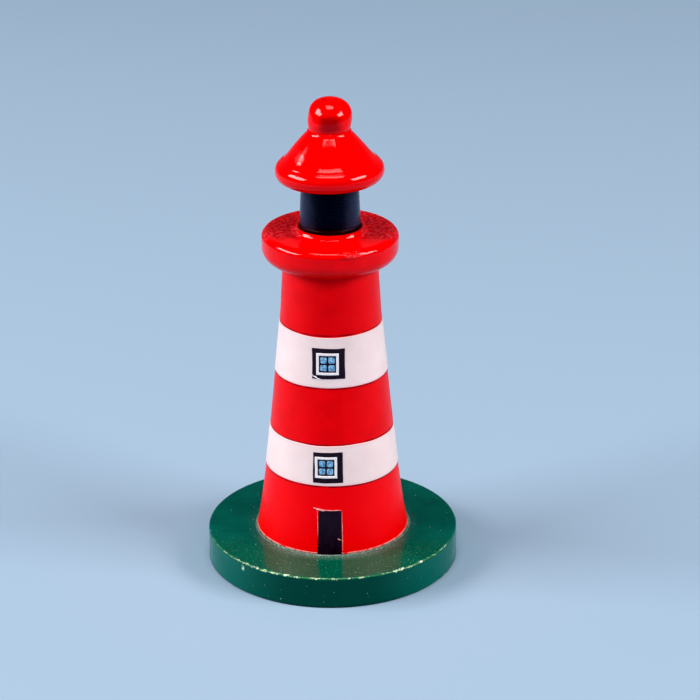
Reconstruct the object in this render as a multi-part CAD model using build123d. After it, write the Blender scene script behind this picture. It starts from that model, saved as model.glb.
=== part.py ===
from build123d import *
import os

# Turned and painted wooden lighthouse figure, free-standing.
# Millimetres, +Z up. The origin is the centre of the underside of the base disc.
# The door and both windows face -Y.

# ---- base disc ----
BASE_RADIUS = 29.0
BASE_HEIGHT = 7.4
BASE_TOP_EDGE = 0.35
BASE_BOTTOM_EDGE = 0.25

# ---- tower ----
TOWER_FOOT_RADIUS = 17.6
TOWER_TOP_RADIUS = 10.75
TOWER_TOP = 72.5
GLUE_BEAD_WIDTH = 0.8
GLUE_BEAD_HEIGHT = 0.35

# ---- gallery disc ----
GALLERY_RADIUS = 15.4
GALLERY_TOP = 79.75
GALLERY_EDGE = 1.5
GALLERY_DISH = 79.5
COLLAR_TOP = 80.75

# ---- lantern drum ----
LANTERN_SEAT = 80.0
LANTERN_TOP = 91.7
LANTERN_FOOT_RADIUS = 7.0
LANTERN_WAIST_RADIUS = 6.8
LANTERN_TOP_RADIUS = 6.4

# ---- roof and knob ----
ROOF_UNDERSIDE = 91.3
ROOF_BRIM_RADIUS = 12.2
ROOF_BRIM_MIDDLE = 93.75
ROOF_TOP = 102.9
KNOB_NECK_RADIUS = 4.6
KNOB_RADIUS = 4.95
TOTAL_HEIGHT = 110.2

# ---- dowel that lines up tower, gallery, lantern, roof and knob ----
DOWEL_RADIUS = 2.5
DOWEL_BOTTOM = 55.0
DOWEL_TOP = 107.0
DOWEL_CHAMFER = 0.4
BORE_RADIUS = DOWEL_RADIUS + 0.05
KNOB_BORE_TOP = DOWEL_TOP + 0.8

# ---- countersunk wood screw, from under the base up into the tower ----
HEAD_RADIUS = 3.3
HEAD_FACE = 0.7
HEAD_RIM = 0.25
SHANK_RADIUS = 1.7
ROOT_RADIUS = 1.2
THREAD_START = 9.0
THREAD_PITCH = 1.4
THREAD_TURNS = 9
SCREW_TIP = 23.6
RECESS_LENGTH = 3.4
RECESS_WIDTH = 0.8
RECESS_DEPTH = 1.3

# ---- paint coats, each laid on the outside of the one before it ----
BAND_COAT = 0.12
MARK_COAT = 0.10
BANDS = {"lower": (23.5, 33.1), "upper": (46.5, 58.6)}
DOOR_ACROSS = -0.2
DOOR_WIDTH = 5.4
DOOR_TOP = 17.8

# Each window: black surround, white frame on it, and four blue panes inside the frame.
# A centre is the distance right of the middle line, and the height.
WINDOWS = {
    "lower": dict(centre=(-0.55, 28.0), width=6.8, height=7.2, frame_centre=(-0.97, 28.05)),
    "upper": dict(centre=(-0.28, 52.3), width=7.5, height=7.2, frame_centre=(-0.5, 52.25)),
}
FRAME_SIZE = 5.1
FRAME_LINE = 0.63
PANE_SIZE = 1.43
PANE_CORNER = 0.3
GLAZING_BAR = 0.36


# directions along a turned outline
UP = (0, 0, 1)
OUTWARD = (1, 0, 0)
INWARD = (-1, 0, 0)


def at(radius, height):
    """A point of a turned outline, in the half plane that is revolved about Z."""
    return (radius, 0, height)


def turned(*edges):
    """Revolve a closed outline, given as its edges in order, about Z."""
    return revolve(make_face(Wire(edges)), Axis.Z)


def sides(*points):
    """The straight edges that join points in order."""
    return [Line(start, end) for start, end in zip(points, points[1:])]


def tower_side(coat):
    """The side of the tower: a short flare at the foot, then a faintly hollow taper."""
    return Spline(
        at(TOWER_FOOT_RADIUS + coat, BASE_HEIGHT),
        at(16.62 + coat, 12.8),
        at(14.75 + coat, 27.6),
        at(12.95 + coat, 45.0),
        at(11.70 + coat, 57.5),
        at(TOWER_TOP_RADIUS + coat, TOWER_TOP),
    )


def plain_tower(coat):
    """The tower without its holes, grown sideways by the coats that lie on it."""
    side = tower_side(coat)
    closing = sides(side @ 1, at(0, TOWER_TOP), at(0, BASE_HEIGHT), side @ 0)
    return turned(side, *closing)


def coat_shell(inner, outer):
    """A skin on the tower, between two distances from its bare side."""
    return plain_tower(outer) - plain_tower(inner)


def front_block(centre, width, height, corner=0.0):
    """A block out through the front of the tower, as wide and high as a painted mark."""
    outline = Rectangle(width, height)
    if corner > 0:
        outline = RectangleRounded(width, height, corner)
    reach = 2 * TOWER_FOOT_RADIUS
    return Plane.XZ * Pos(centre[0], centre[1], 0) * extrude(outline, reach)


def make_base_disc():
    """The disc that it stands on, with a countersunk and counterbored screw hole."""
    hole = SHANK_RADIUS + 0.05
    cone_bottom = HEAD_FACE + HEAD_RIM
    cone_top = cone_bottom + HEAD_RADIUS - hole
    rim = Spline(
        at(BASE_RADIUS, BASE_HEIGHT - BASE_TOP_EDGE),
        at(BASE_RADIUS - BASE_TOP_EDGE, BASE_HEIGHT),
        tangents=(UP, INWARD),
    )
    underside = sides(
        at(HEAD_RADIUS + 0.3, cone_bottom),
        at(HEAD_RADIUS + 0.3, 0),
        at(BASE_RADIUS - BASE_BOTTOM_EDGE, 0),
        at(BASE_RADIUS, BASE_BOTTOM_EDGE),
        rim @ 0,
    )
    inside = sides(
        rim @ 1,
        at(hole, BASE_HEIGHT),
        at(hole, cone_top),
        at(HEAD_RADIUS, cone_bottom),
        at(HEAD_RADIUS + 0.3, cone_bottom),
    )
    return turned(*underside, rim, *inside)


def make_base_screw():
    """Countersunk screw: head with a cross recess, plain shank, ridged thread, point."""
    cone_bottom = HEAD_FACE + HEAD_RIM
    outline = [
        at(0, HEAD_FACE),
        at(HEAD_RADIUS, HEAD_FACE),
        at(HEAD_RADIUS, cone_bottom),
        at(SHANK_RADIUS, cone_bottom + HEAD_RADIUS - SHANK_RADIUS),
        at(SHANK_RADIUS, THREAD_START - 0.5),
        at(ROOT_RADIUS, THREAD_START),
    ]
    for turn in range(THREAD_TURNS):
        foot = THREAD_START + turn * THREAD_PITCH
        outline.append(at(ROOT_RADIUS, foot + 0.4))
        outline.append(at(SHANK_RADIUS, foot + 0.8))
        outline.append(at(ROOT_RADIUS, foot + 1.1))
    outline.append(at(0, SCREW_TIP))
    outline.append(outline[0])
    screw = turned(*sides(*outline))
    wing = extrude(Rectangle(RECESS_LENGTH, RECESS_WIDTH), RECESS_DEPTH, taper=20)
    for angle in (0, 90):
        screw -= Pos(0, 0, HEAD_FACE) * Rot(0, 0, angle) * wing
    return screw


def make_tower_body(screw):
    """The tapered tower, bored for the dowel at the top and cut by the screw below."""
    bore_height = TOWER_TOP - DOWEL_BOTTOM
    bore = Cylinder(BORE_RADIUS, bore_height, align=(Align.CENTER, Align.CENTER, Align.MIN))
    body = plain_tower(0) - Pos(0, 0, DOWEL_BOTTOM) * bore
    screw_space = Cylinder(SHANK_RADIUS, THREAD_START - BASE_HEIGHT - 0.5)
    screw_middle = (THREAD_START - 0.5 + BASE_HEIGHT) / 2
    return body - Pos(0, 0, screw_middle) * screw_space - screw


def make_glue_bead(door):
    """Glue squeezed out round the foot of the tower: a low rounded fillet."""
    outer = TOWER_FOOT_RADIUS + GLUE_BEAD_WIDTH
    inner = TOWER_FOOT_RADIUS - 0.5
    crest = at(TOWER_FOOT_RADIUS - 0.04, BASE_HEIGHT + GLUE_BEAD_HEIGHT)
    skin = ThreePointArc(at(outer, BASE_HEIGHT), at(outer - 0.4, BASE_HEIGHT + 0.12), crest)
    closing = sides(
        crest,
        at(inner, BASE_HEIGHT + GLUE_BEAD_HEIGHT),
        at(inner, BASE_HEIGHT),
        at(outer, BASE_HEIGHT),
    )
    return turned(skin, *closing) - plain_tower(0) - door


def make_gallery_disc():
    """Thick disc: round lower corner, rounded upper edge, and a collar in the middle of its top."""
    under_edge = at(11.4, TOWER_TOP)
    side = at(GALLERY_RADIUS, 76.2)
    edge_start = at(GALLERY_RADIUS, GALLERY_TOP - GALLERY_EDGE)
    rim = at(GALLERY_RADIUS - GALLERY_EDGE, GALLERY_TOP)
    dish = at(9.1, GALLERY_DISH)
    collar = at(7.45, COLLAR_TOP)
    seat_radius = LANTERN_FOOT_RADIUS + 0.05
    lower_round = Spline(under_edge, at(14.45, 73.55), side, tangents=(OUTWARD, UP))
    upright = Line(side, edge_start)
    flat = GALLERY_EDGE * (1 - 0.5**0.5)
    upper_round = ThreePointArc(edge_start, at(GALLERY_RADIUS - flat, GALLERY_TOP - flat), rim)
    top = Spline(rim, at(11.0, GALLERY_DISH + 0.05), dish)
    collar_slope = Spline(dish, at(8.2, 79.95), collar)
    closing = sides(
        collar,
        at(seat_radius, COLLAR_TOP),
        at(seat_radius, LANTERN_SEAT),
        at(BORE_RADIUS, LANTERN_SEAT),
        at(BORE_RADIUS, TOWER_TOP),
        under_edge,
    )
    return turned(lower_round, upright, upper_round, top, collar_slope, *closing)


def make_lantern_drum():
    """The lantern room: a short drum, a little wider at its foot, bored for the dowel."""
    foot_top = LANTERN_SEAT + 1.5
    outside = sides(
        at(LANTERN_FOOT_RADIUS, foot_top),
        at(LANTERN_WAIST_RADIUS, foot_top + 0.25),
        at(LANTERN_TOP_RADIUS, LANTERN_TOP),
        at(BORE_RADIUS, LANTERN_TOP),
        at(BORE_RADIUS, LANTERN_SEAT),
        at(LANTERN_FOOT_RADIUS, LANTERN_SEAT),
        at(LANTERN_FOOT_RADIUS, foot_top),
    )
    return turned(*outside)


def make_roof_cone():
    """The roof: rolled brim, a crease above it, hollow flank, and a seat for the knob."""
    under_edge = at(9.6, ROOF_UNDERSIDE)
    crease = at(10.8, 96.15)
    brim_side = at(ROOF_BRIM_RADIUS, ROOF_BRIM_MIDDLE)
    brim_lower = ThreePointArc(under_edge, at(11.42, 91.98), brim_side)
    brim_upper = ThreePointArc(brim_side, at(11.86, 95.15), crease)
    flank_top = at(KNOB_NECK_RADIUS + 0.3, ROOF_TOP)
    flank = Spline(crease, at(9.35, 97.7), at(7.75, 99.65), flank_top)
    seat_radius = LANTERN_TOP_RADIUS + 0.05
    closing = sides(
        flank_top,
        at(BORE_RADIUS, ROOF_TOP),
        at(BORE_RADIUS, LANTERN_TOP),
        at(seat_radius, LANTERN_TOP),
        at(seat_radius, ROOF_UNDERSIDE),
        under_edge,
    )
    return turned(brim_lower, brim_upper, flank, *closing)


def make_roof_knob():
    """The knob on the roof: a bulb with a low domed top, bored from below."""
    side = Spline(
        at(KNOB_NECK_RADIUS, ROOF_TOP),
        at(4.85, 104.3),
        at(KNOB_RADIUS, 105.8),
        at(4.78, 107.3),
        at(4.05, 108.7),
        at(2.5, 109.75),
        at(0, TOTAL_HEIGHT),
        tangents=((0.3, 0, 1), INWARD),
    )
    closing = sides(
        at(0, TOTAL_HEIGHT),
        at(0, KNOB_BORE_TOP),
        at(BORE_RADIUS, KNOB_BORE_TOP),
        at(BORE_RADIUS, ROOF_TOP),
        at(KNOB_NECK_RADIUS, ROOF_TOP),
    )
    return turned(side, *closing)


def make_spine_dowel():
    """Straight dowel with chamfered ends; it stands on the floor of the tower's bore."""
    end = DOWEL_RADIUS - DOWEL_CHAMFER
    return turned(*sides(
        at(0, DOWEL_BOTTOM),
        at(end, DOWEL_BOTTOM),
        at(DOWEL_RADIUS, DOWEL_BOTTOM + DOWEL_CHAMFER),
        at(DOWEL_RADIUS, DOWEL_TOP - DOWEL_CHAMFER),
        at(end, DOWEL_TOP),
        at(0, DOWEL_TOP),
        at(0, DOWEL_BOTTOM),
    ))


def make_band(bottom, top):
    """A white band painted right round the tower."""
    width = 4 * TOWER_FOOT_RADIUS
    slab = Box(width, width, top - bottom, align=(Align.CENTER, Align.CENTER, Align.MIN))
    return coat_shell(0, BAND_COAT) & Pos(0, 0, bottom) * slab


def make_door():
    """The black door, from the foot of the tower up."""
    middle = (DOOR_ACROSS, (BASE_HEIGHT + DOOR_TOP) / 2)
    return coat_shell(0, MARK_COAT) & front_block(middle, DOOR_WIDTH, DOOR_TOP - BASE_HEIGHT)


def make_window(centre, width, height, frame_centre):
    """Surround on the white band, then frame and panes side by side on the surround."""
    surround_skin = coat_shell(BAND_COAT, BAND_COAT + MARK_COAT)
    top_skin = coat_shell(BAND_COAT + MARK_COAT, BAND_COAT + 2 * MARK_COAT)
    opening = FRAME_SIZE - 2 * FRAME_LINE
    frame = front_block(frame_centre, FRAME_SIZE, FRAME_SIZE)
    frame -= front_block(frame_centre, opening, opening)
    step = (PANE_SIZE + GLAZING_BAR) / 2
    panes = []
    for across in (-step, step):
        for up in (-step, step):
            middle = (frame_centre[0] + across, frame_centre[1] + up)
            block = front_block(middle, PANE_SIZE, PANE_SIZE, PANE_CORNER)
            panes += (top_skin & block).solids()
    return {
        "window_surround": surround_skin & front_block(centre, width, height),
        "window_frame": top_skin & frame,
        "window_panes": Compound(panes),
    }


def build_nodes():
    """Every node of the figure, by name."""
    screw = make_base_screw()
    door = make_door()
    nodes = {
        "base_disc": make_base_disc(),
        "base_screw": screw,
        "tower_body": make_tower_body(screw),
        "glue_bead": make_glue_bead(door),
        "door_panel": door,
        "gallery_disc": make_gallery_disc(),
        "lantern_drum": make_lantern_drum(),
        "roof_cone": make_roof_cone(),
        "roof_knob": make_roof_knob(),
        "spine_dowel": make_spine_dowel(),
    }
    for level, (bottom, top) in BANDS.items():
        nodes["white_band_" + level] = make_band(bottom, top)
    for level, sizes in WINDOWS.items():
        for layer, shape in make_window(**sizes).items():
            nodes[layer + "_" + level] = shape
    return nodes


os.makedirs("parts", exist_ok=True)
for node, shape in build_nodes().items():
    export_step(shape, "parts/" + node + ".step")
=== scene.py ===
import math

import bpy
import numpy as np
from mathutils import Matrix, Vector


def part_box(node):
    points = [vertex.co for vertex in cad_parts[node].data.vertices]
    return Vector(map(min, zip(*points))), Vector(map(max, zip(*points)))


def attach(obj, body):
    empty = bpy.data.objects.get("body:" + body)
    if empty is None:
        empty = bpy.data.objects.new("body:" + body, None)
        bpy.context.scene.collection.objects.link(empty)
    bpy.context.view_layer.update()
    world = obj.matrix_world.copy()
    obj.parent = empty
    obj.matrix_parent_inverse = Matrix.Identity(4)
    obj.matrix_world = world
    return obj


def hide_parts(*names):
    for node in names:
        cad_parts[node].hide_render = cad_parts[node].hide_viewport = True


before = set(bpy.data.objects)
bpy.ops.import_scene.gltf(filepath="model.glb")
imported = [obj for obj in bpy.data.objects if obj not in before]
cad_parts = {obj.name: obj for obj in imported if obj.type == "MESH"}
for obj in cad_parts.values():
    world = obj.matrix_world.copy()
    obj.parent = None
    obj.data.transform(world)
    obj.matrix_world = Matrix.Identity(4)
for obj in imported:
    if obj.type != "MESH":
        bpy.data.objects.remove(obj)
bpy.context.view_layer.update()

# Turned wooden lighthouse, painted by hand. Shapes are worked out in millimetres and put into
# meshes in metres. Angles go round the axis from the door side (-Y) towards +X.

MM = 0.001
TAU = 2 * math.pi


# ---------------------------------------------------------------- sizes read from the frame

def low(node):
    """Lowest corner of a carried part, in millimetres."""
    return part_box(node)[0] / MM


def high(node):
    """Highest corner of a carried part, in millimetres."""
    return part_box(node)[1] / MM


def middle(node):
    """Distance right of the middle line, and height, of a painted mark's centre."""
    centre = (low(node) + high(node)) / 2
    return centre.x, centre.z


BASE_RADIUS = high("base_disc").x
BASE_TOP = high("base_disc").z
FOOT_RADIUS = high("tower_body").x
TOWER_TOP = high("tower_body").z
GALLERY_RADIUS = high("gallery_disc").x
LANTERN_SEAT = low("lantern_drum").z
GALLERY_TOP = LANTERN_SEAT - 0.25
LANTERN_TOP = high("lantern_drum").z
FLANGE_RADIUS = high("lantern_drum").x
ROOF_BOTTOM = low("roof_cone").z
ROOF_RADIUS = high("roof_cone").x
ROOF_TOP = high("roof_cone").z
KNOB_RADIUS = high("roof_knob").x
SUMMIT = high("roof_knob").z
DRUM_FOOT = FLANGE_RADIUS - 0.08
BORE = high("spine_dowel").x + 0.05
BORE_FLOOR = low("spine_dowel").z
BORE_ROOF = high("spine_dowel").z + 0.8
SCREW_HEAD = high("base_screw").x
SCREW_FACE = low("base_screw").z
SCREW_TIP = high("base_screw").z
SCREW_HOLE = 1.75

# Thickness of the coats of paint, and sizes of the windows' brushwork.
BAND_COAT = 0.12
MARK_COAT = 0.10
FRAME_LINE = 0.63
PANE_SIZE = 1.43


# ---------------------------------------------------------------- outlines and unevenness

def through(points, count):
    """Smooth curve through points: each cubic piece takes its end slopes from its neighbours."""
    p = np.array(points, float)
    p = np.vstack([2 * p[0] - p[1], p, 2 * p[-1] - p[-2]])
    t = np.linspace(0, len(points) - 1, count)
    i = np.minimum(t.astype(int), len(points) - 2)
    s = (t - i)[:, None]
    a, b, c, d = p[i], p[i + 1], p[i + 2], p[i + 3]
    return b + 0.5 * s * (c - a + s * (2 * a - 5 * b + 4 * c - d + s * (3 * (b - c) + d - a)))


def bend(centre, reach, rise, start, end, count):
    """Part of an ellipse: centre plus reach times cosine and rise times sine, in degrees."""
    t = np.radians(np.linspace(start, end, count))
    return np.stack([centre[0] + reach * np.cos(t), centre[1] + rise * np.sin(t)], 1)


def straight(*points, gap=0.6):
    """Straight runs through points, with a point about every gap millimetres."""
    runs = []
    for a, b in zip(points, points[1:]):
        share = np.linspace(0, 1, max(2, int(math.dist(a, b) / gap) + 1))[:, None]
        runs.append(np.array(a) * (1 - share) + np.array(b) * share)
    return np.vstack(runs)


def joined(*runs):
    """One outline from several runs, with the doubled points between them left out."""
    line = np.vstack(runs)
    step = np.hypot(*np.diff(line, axis=0).T)
    return line[np.r_[True, step > 1e-6]]


def ripple(angle, seed, orders, size):
    """Unevenness of handwork round the axis: a sum of sines, each weaker the finer it is."""
    rng = np.random.default_rng(seed)
    total = np.zeros_like(angle)
    for order in orders:
        total += rng.normal() * np.sin(order * angle + rng.uniform(0, TAU)) / order**0.7
    return size * total


def lobe(value, centre, width):
    """A bell that is 1 at its centre and fades over its width."""
    return np.exp(-(((value - centre) / width) ** 2))


def ease(value, start, end):
    """A smooth step from 0 at start to 1 at end."""
    s = np.clip((value - start) / (end - start), 0, 1)
    return s * s * (3 - 2 * s)


# ---------------------------------------------------------------- shapes: points and faces

def quads(index, wrap_rows, wrap_columns):
    """Faces between neighbouring rows and columns of a table of point numbers."""
    if wrap_rows:
        index = np.vstack([index, index[:1]])
    if wrap_columns:
        index = np.hstack([index, index[:, :1]])
    corners = (index[:-1, :-1], index[:-1, 1:], index[1:, 1:], index[1:, :-1])
    return np.stack(corners, -1).reshape(-1, 4).tolist()


def numbered(table):
    """The point numbers of a table of points."""
    return np.arange(table.shape[0] * table.shape[1]).reshape(table.shape[:2])


def closed_tube(table):
    """Section by track, closed both ways."""
    return table.reshape(-1, 3), quads(numbered(table), True, True)


def capped_tube(table):
    """Section by track, closed round the section and capped at both ends of the track."""
    index = numbered(table)
    caps = [index[:, 0].tolist(), index[::-1, -1].tolist()]
    return table.reshape(-1, 3), quads(index, True, False) + caps


def closed_pod(table, start_tip, end_tip):
    """Rings between two tips, with a fan of triangles at each tip."""
    index = numbered(table)
    points = np.vstack([table.reshape(-1, 3), [start_tip], [end_tip]])
    faces = quads(index, False, True)
    for tip, row in ((index.size, index[0][::-1]), (index.size + 1, index[-1])):
        fan = np.stack([np.full(row.size, tip), row, np.roll(row, -1)], 1)
        faces += fan.tolist()
    return points, faces


def turned(outline, around, uneven=None):
    """Turned shape: outline points (radius, height) carried round the axis.

    uneven(angle, radius, height) adds a little to both. An outline from axis to axis gets a tip
    at each end; any other is closed on itself."""
    angle = np.linspace(0, TAU, around, endpoint=False)[None, :]
    on_axis = outline[0, 0] < 1e-9
    rings = outline[1:-1] if on_axis else outline
    radius = rings[:, :1] + 0 * angle
    height = rings[:, 1:] + 0 * angle
    if uneven:
        wider, higher = uneven(angle + 0 * radius, radius, height)
        radius, height = radius + wider, height + higher
    table = np.stack([radius * np.sin(angle), -radius * np.cos(angle), height], -1)
    if on_axis:
        start_tip = (0, 0, height[0].mean() + outline[0, 1] - outline[1, 1])
        end_tip = (0, 0, height[-1].mean() + outline[-1, 1] - outline[-2, 1])
        return closed_pod(table, start_tip, end_tip)
    return closed_tube(table)


def together(shapes):
    """Several shapes as one."""
    points, faces, start = [], [], 0
    for shape_points, shape_faces in shapes:
        points.append(shape_points)
        faces += [[start + corner for corner in face] for face in shape_faces]
        start += len(shape_points)
    return np.vstack(points), faces


def add_piece(name, shape, slot, finish, *nodes):
    """A mesh piece from a shape, in its finish, that rides on the figure and replaces nodes."""
    points, faces = shape
    mesh = bpy.data.meshes.new(name)
    mesh.from_pydata((points * MM).tolist(), [], faces)
    mesh.polygons.foreach_set("use_smooth", np.ones(len(faces), bool))
    mesh.materials.append(finish)
    piece = bpy.data.objects.new(name, mesh)
    bpy.context.scene.collection.objects.link(piece)
    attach(piece, "root")
    if nodes:
        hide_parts(*nodes)
    return piece


# ---------------------------------------------------------------- the side of the tower

TOWER_SIDE = through(
    [
        (FOOT_RADIUS, BASE_TOP),
        (16.62, 12.8),
        (15.60, 20.2),
        (14.75, 27.6),
        (13.75, 37.0),
        (12.95, 45.0),
        (11.70, 57.5),
        (11.12, 66.0),
        (10.75, TOWER_TOP),
    ],
    200,
)


def tower_radius(angle, height):
    """Radius of the tower's painted side, with the faint waves that turning left in it."""
    plain = np.interp(height, TOWER_SIDE[:, 1], TOWER_SIDE[:, 0])
    waves = ripple(angle, 3, (1, 2, 3, 5), 0.010) + 0.010 * np.sin(height * 0.9 + np.sin(angle))
    return plain - 0.03 + waves * ease(height, BASE_TOP, BASE_TOP + 3)


def on_tower(across, height, lift):
    """Points on the front of the tower, by distance across and height, lifted off its side."""
    angle = np.arcsin(across / np.interp(height, TOWER_SIDE[:, 1], TOWER_SIDE[:, 0]))
    radius = tower_radius(angle, height) + lift
    return np.stack([across, -np.sqrt(radius**2 - across**2), height], -1)


# ---------------------------------------------------------------- shapes of paint on the tower

def half_pill(count):
    """Section of a line of paint, as share across (-1 to 1) and share of its coat (0 to 1)."""
    t = np.linspace(0, TAU, count, endpoint=False)
    return np.cos(t), np.maximum(np.sin(t), 0) ** 0.6


def painted_band(bottom, top, waver, seed):
    """Sleeve of paint round the tower, from a wavering lower edge to a wavering upper one.

    Up the front the height goes evenly from edge to edge, and the coat thins to nothing over
    the last quarter millimetre; the back lies on the wood."""
    angle = np.linspace(0, TAU, 480, endpoint=False)[None, :]
    edge = 1 - np.cos(np.linspace(0, math.pi / 2, 8))
    front = np.r_[0.02 * edge, np.linspace(0.02, 0.98, 42)[1:-1], 1 - 0.02 * edge[::-1]]
    share = np.r_[front, np.linspace(1, 0, 12)[1:-1]][:, None]
    near_edge = np.clip(np.minimum(front, 1 - front) / 0.02, 0, 1)
    coat = np.r_[BAND_COAT * np.sqrt(1 - (1 - near_edge) ** 2), np.full(10, -0.02)][:, None]
    lower = bottom + ripple(angle, seed, (1, 2, 3, 5, 8, 13), waver)
    upper = top + ripple(angle, seed + 1, (1, 2, 3, 5, 8, 13), waver)
    height = lower * (1 - share) + upper * share
    radius = tower_radius(angle, height) + coat
    return closed_tube(np.stack([radius * np.sin(angle), -radius * np.cos(angle), height], -1))


def painted_sheet(centre, width, height, lift, coat, waver, seed, lean=0.0):
    """Rectangle of paint: a grid across and up whose four edges waver.

    The front is raised by the coat and rounds down to the back over a tenth of a millimetre."""
    rng = np.random.default_rng(seed)
    steps = 0.5 - 0.5 * np.cos(np.linspace(0, math.pi, 40))
    across, up = np.meshgrid(steps, steps)

    def edge(share):
        """Waver of one edge along itself."""
        phase = rng.uniform(0, TAU, 3)
        return waver * sum(np.sin(k * 2.3 * share + p) / k for k, p in zip((1, 3, 7), phase))

    x = centre[0] + width * (across - 0.5) + (1 - across) * edge(up) + across * edge(up)
    z = centre[1] + height * (up - 0.5) + (1 - up) * edge(across) + up * edge(across)
    x = x + lean * (0.5 - up) * (1 - across)
    distance = np.minimum(np.minimum(across, 1 - across) * width, np.minimum(up, 1 - up) * height)
    rise = coat * np.sqrt(1 - (1 - np.clip(distance / 0.12, 0, 1)) ** 2)
    front = on_tower(x, z, lift + rise)
    back = on_tower(x, z, lift - 0.01 + 0 * rise)
    index = numbered(front)
    back_index = index + index.size
    rim = np.zeros(index.shape, bool)
    rim[[0, -1], :] = True
    rim[:, [0, -1]] = True
    back_index[rim] = index[rim]
    faces = quads(index, False, False) + quads(back_index[:, ::-1], False, False)
    return np.vstack([front.reshape(-1, 3), back.reshape(-1, 3)]), faces


def painted_square_line(centre, size, line, lift, coat, waver, seed):
    """Square outline of paint: a half-pill section carried round a square with mitred corners."""
    side = np.linspace(-1, 1, 24, endpoint=False)
    one = np.ones_like(side)
    square_x = np.r_[side, one, -side, -one]
    square_z = np.r_[-one, side, one, -side]
    across, share = half_pill(14)
    reach = (size - line) / 2 + across[:, None] * line / 2
    turn = np.linspace(0, TAU, square_x.size, endpoint=False)
    swell = 1 + ripple(turn, seed, (2, 5, 9, 14), waver)
    x = centre[0] + (reach * swell) * square_x
    z = centre[1] + (reach * (2 - swell)) * square_z
    return closed_tube(on_tower(x, z, lift + coat * share[:, None] - 0.01))


def painted_stroke(start, end, width, lift, coat, seed):
    """Brush or scratch mark: a half-pill section that swells and thins from start to end."""
    run = np.linspace(0, 1, 26)
    start, end = np.array(start), np.array(end)
    along = (end - start) / np.linalg.norm(end - start)
    wobble = ripple(run * 2.5, seed, (1, 2, 4), 0.05)
    body = np.sqrt(np.clip(1 - (2 * run - 1) ** 2, 0.002, 1))
    body = body * (1 + ripple(run * 3, seed + 1, (2, 5), 0.15))
    across, share = half_pill(10)
    side = wobble - across[:, None] * body * width / 2
    line = start + (end - start) * run[:, None]
    x = line[:, 0] - along[1] * side
    z = line[:, 1] + along[0] * side
    return capped_tube(on_tower(x, z, lift + coat * share[:, None] * body - 0.005))


def painted_dab(centre, size, lift, coat, seed):
    """Rounded square dab of paint: rings of a squared circle, out along the back and in again
    along the front, where the coat swells from the rim."""
    turn = np.linspace(0, TAU, 48, endpoint=False)[None, :]
    square = (np.abs(np.cos(turn)) ** 5 + np.abs(np.sin(turn)) ** 5) ** (-1 / 5)
    square = square * (1 + ripple(turn, seed, (2, 3, 5, 7), 0.025)) * size / 2
    out = np.array([0.4, 0.8, 1.0])
    back_in = np.cos(np.linspace(0, math.pi / 2, 12))[1:-1]
    ring = np.r_[out, back_in][:, None]
    rise = np.r_[0, 0, 0, coat * (1 - back_in**4) ** 0.5][:, None]
    x = centre[0] + ring * square * np.cos(turn)
    z = centre[1] + ring * square * np.sin(turn)
    tips = on_tower(np.array([centre[0]] * 2), np.array([centre[1]] * 2), lift + np.array([0, coat]))
    return closed_pod(on_tower(x, z, lift + rise), tips[0], tips[1])


# ---------------------------------------------------------------- outlines of the turned pieces

def base_shape():
    """Base disc: chamfered underside, upright side, small round at the top, screw hole."""
    recess = SCREW_HEAD + 0.3
    head_rim = SCREW_FACE + 0.25
    hole_top = head_rim + SCREW_HEAD - SCREW_HOLE
    chamfer = 0.25
    edge = 0.45
    outline = joined(
        straight((recess, head_rim), (recess, 0.0)),
        straight((recess, 0.0), (BASE_RADIUS - chamfer, 0.0), gap=2.0),
        straight((BASE_RADIUS - chamfer, 0.0), (BASE_RADIUS, chamfer), gap=0.1),
        straight((BASE_RADIUS, chamfer), (BASE_RADIUS, BASE_TOP - edge)),
        bend((BASE_RADIUS - edge, BASE_TOP - edge), edge, edge, 0, 90, 9),
        straight((BASE_RADIUS - edge, BASE_TOP), (SCREW_HOLE, BASE_TOP), gap=0.7),
        straight((SCREW_HOLE, BASE_TOP), (SCREW_HOLE, hole_top), gap=1.5),
        straight((SCREW_HOLE, hole_top), (SCREW_HEAD, head_rim)),
    )

    def uneven(angle, radius, height):
        """Rim a little out of round, nicked along its top edge, top face faintly dished."""
        rim = ease(radius, 20, BASE_RADIUS - 0.5) * ease(height, 0.3, 1.5)
        top_edge = rim * ease(height, BASE_TOP - 0.7, BASE_TOP - 0.2)
        out = -0.05 - np.abs(ripple(angle, 11, (2, 3, 5), 0.03))
        nick = -0.05 * np.clip(ripple(angle, 12, (37, 61, 97, 140, 211), 3.0), 0, 2)
        down = -0.03 * np.clip(ripple(angle, 13, (41, 67, 103, 151), 3.0), 0, 2)
        return rim * out + top_edge * nick, top_edge * down

    return turned(outline, 720, uneven)


def tower_shape():
    """Tower: its painted side, a flat top bored for the dowel, a foot bored for the screw."""
    foot = TOWER_SIDE[0, 0]
    shoulder = TOWER_SIDE[-1, 0] - 0.10
    outline = joined(
        straight((0.0, SCREW_TIP), (SCREW_HOLE, SCREW_TIP)),
        straight((SCREW_HOLE, SCREW_TIP), (SCREW_HOLE, BASE_TOP), gap=4),
        straight((SCREW_HOLE, BASE_TOP), (foot - 0.15, BASE_TOP), gap=2),
        [(foot - 0.03, BASE_TOP + 0.05)],
        TOWER_SIDE[2:-1],
        straight((shoulder, TOWER_TOP), (BORE, TOWER_TOP), gap=2),
        straight((BORE, TOWER_TOP), (BORE, BORE_FLOOR), gap=4),
        straight((BORE, BORE_FLOOR), (0.0, BORE_FLOOR)),
    )

    def uneven(angle, radius, height):
        """The turning waves of the side, and nothing on the hidden faces."""
        outside = (radius > 9) & (height > BASE_TOP + 0.2)
        return np.where(outside, tower_radius(angle, height) - radius, 0), 0 * height

    return turned(outline, 400, uneven)


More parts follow.
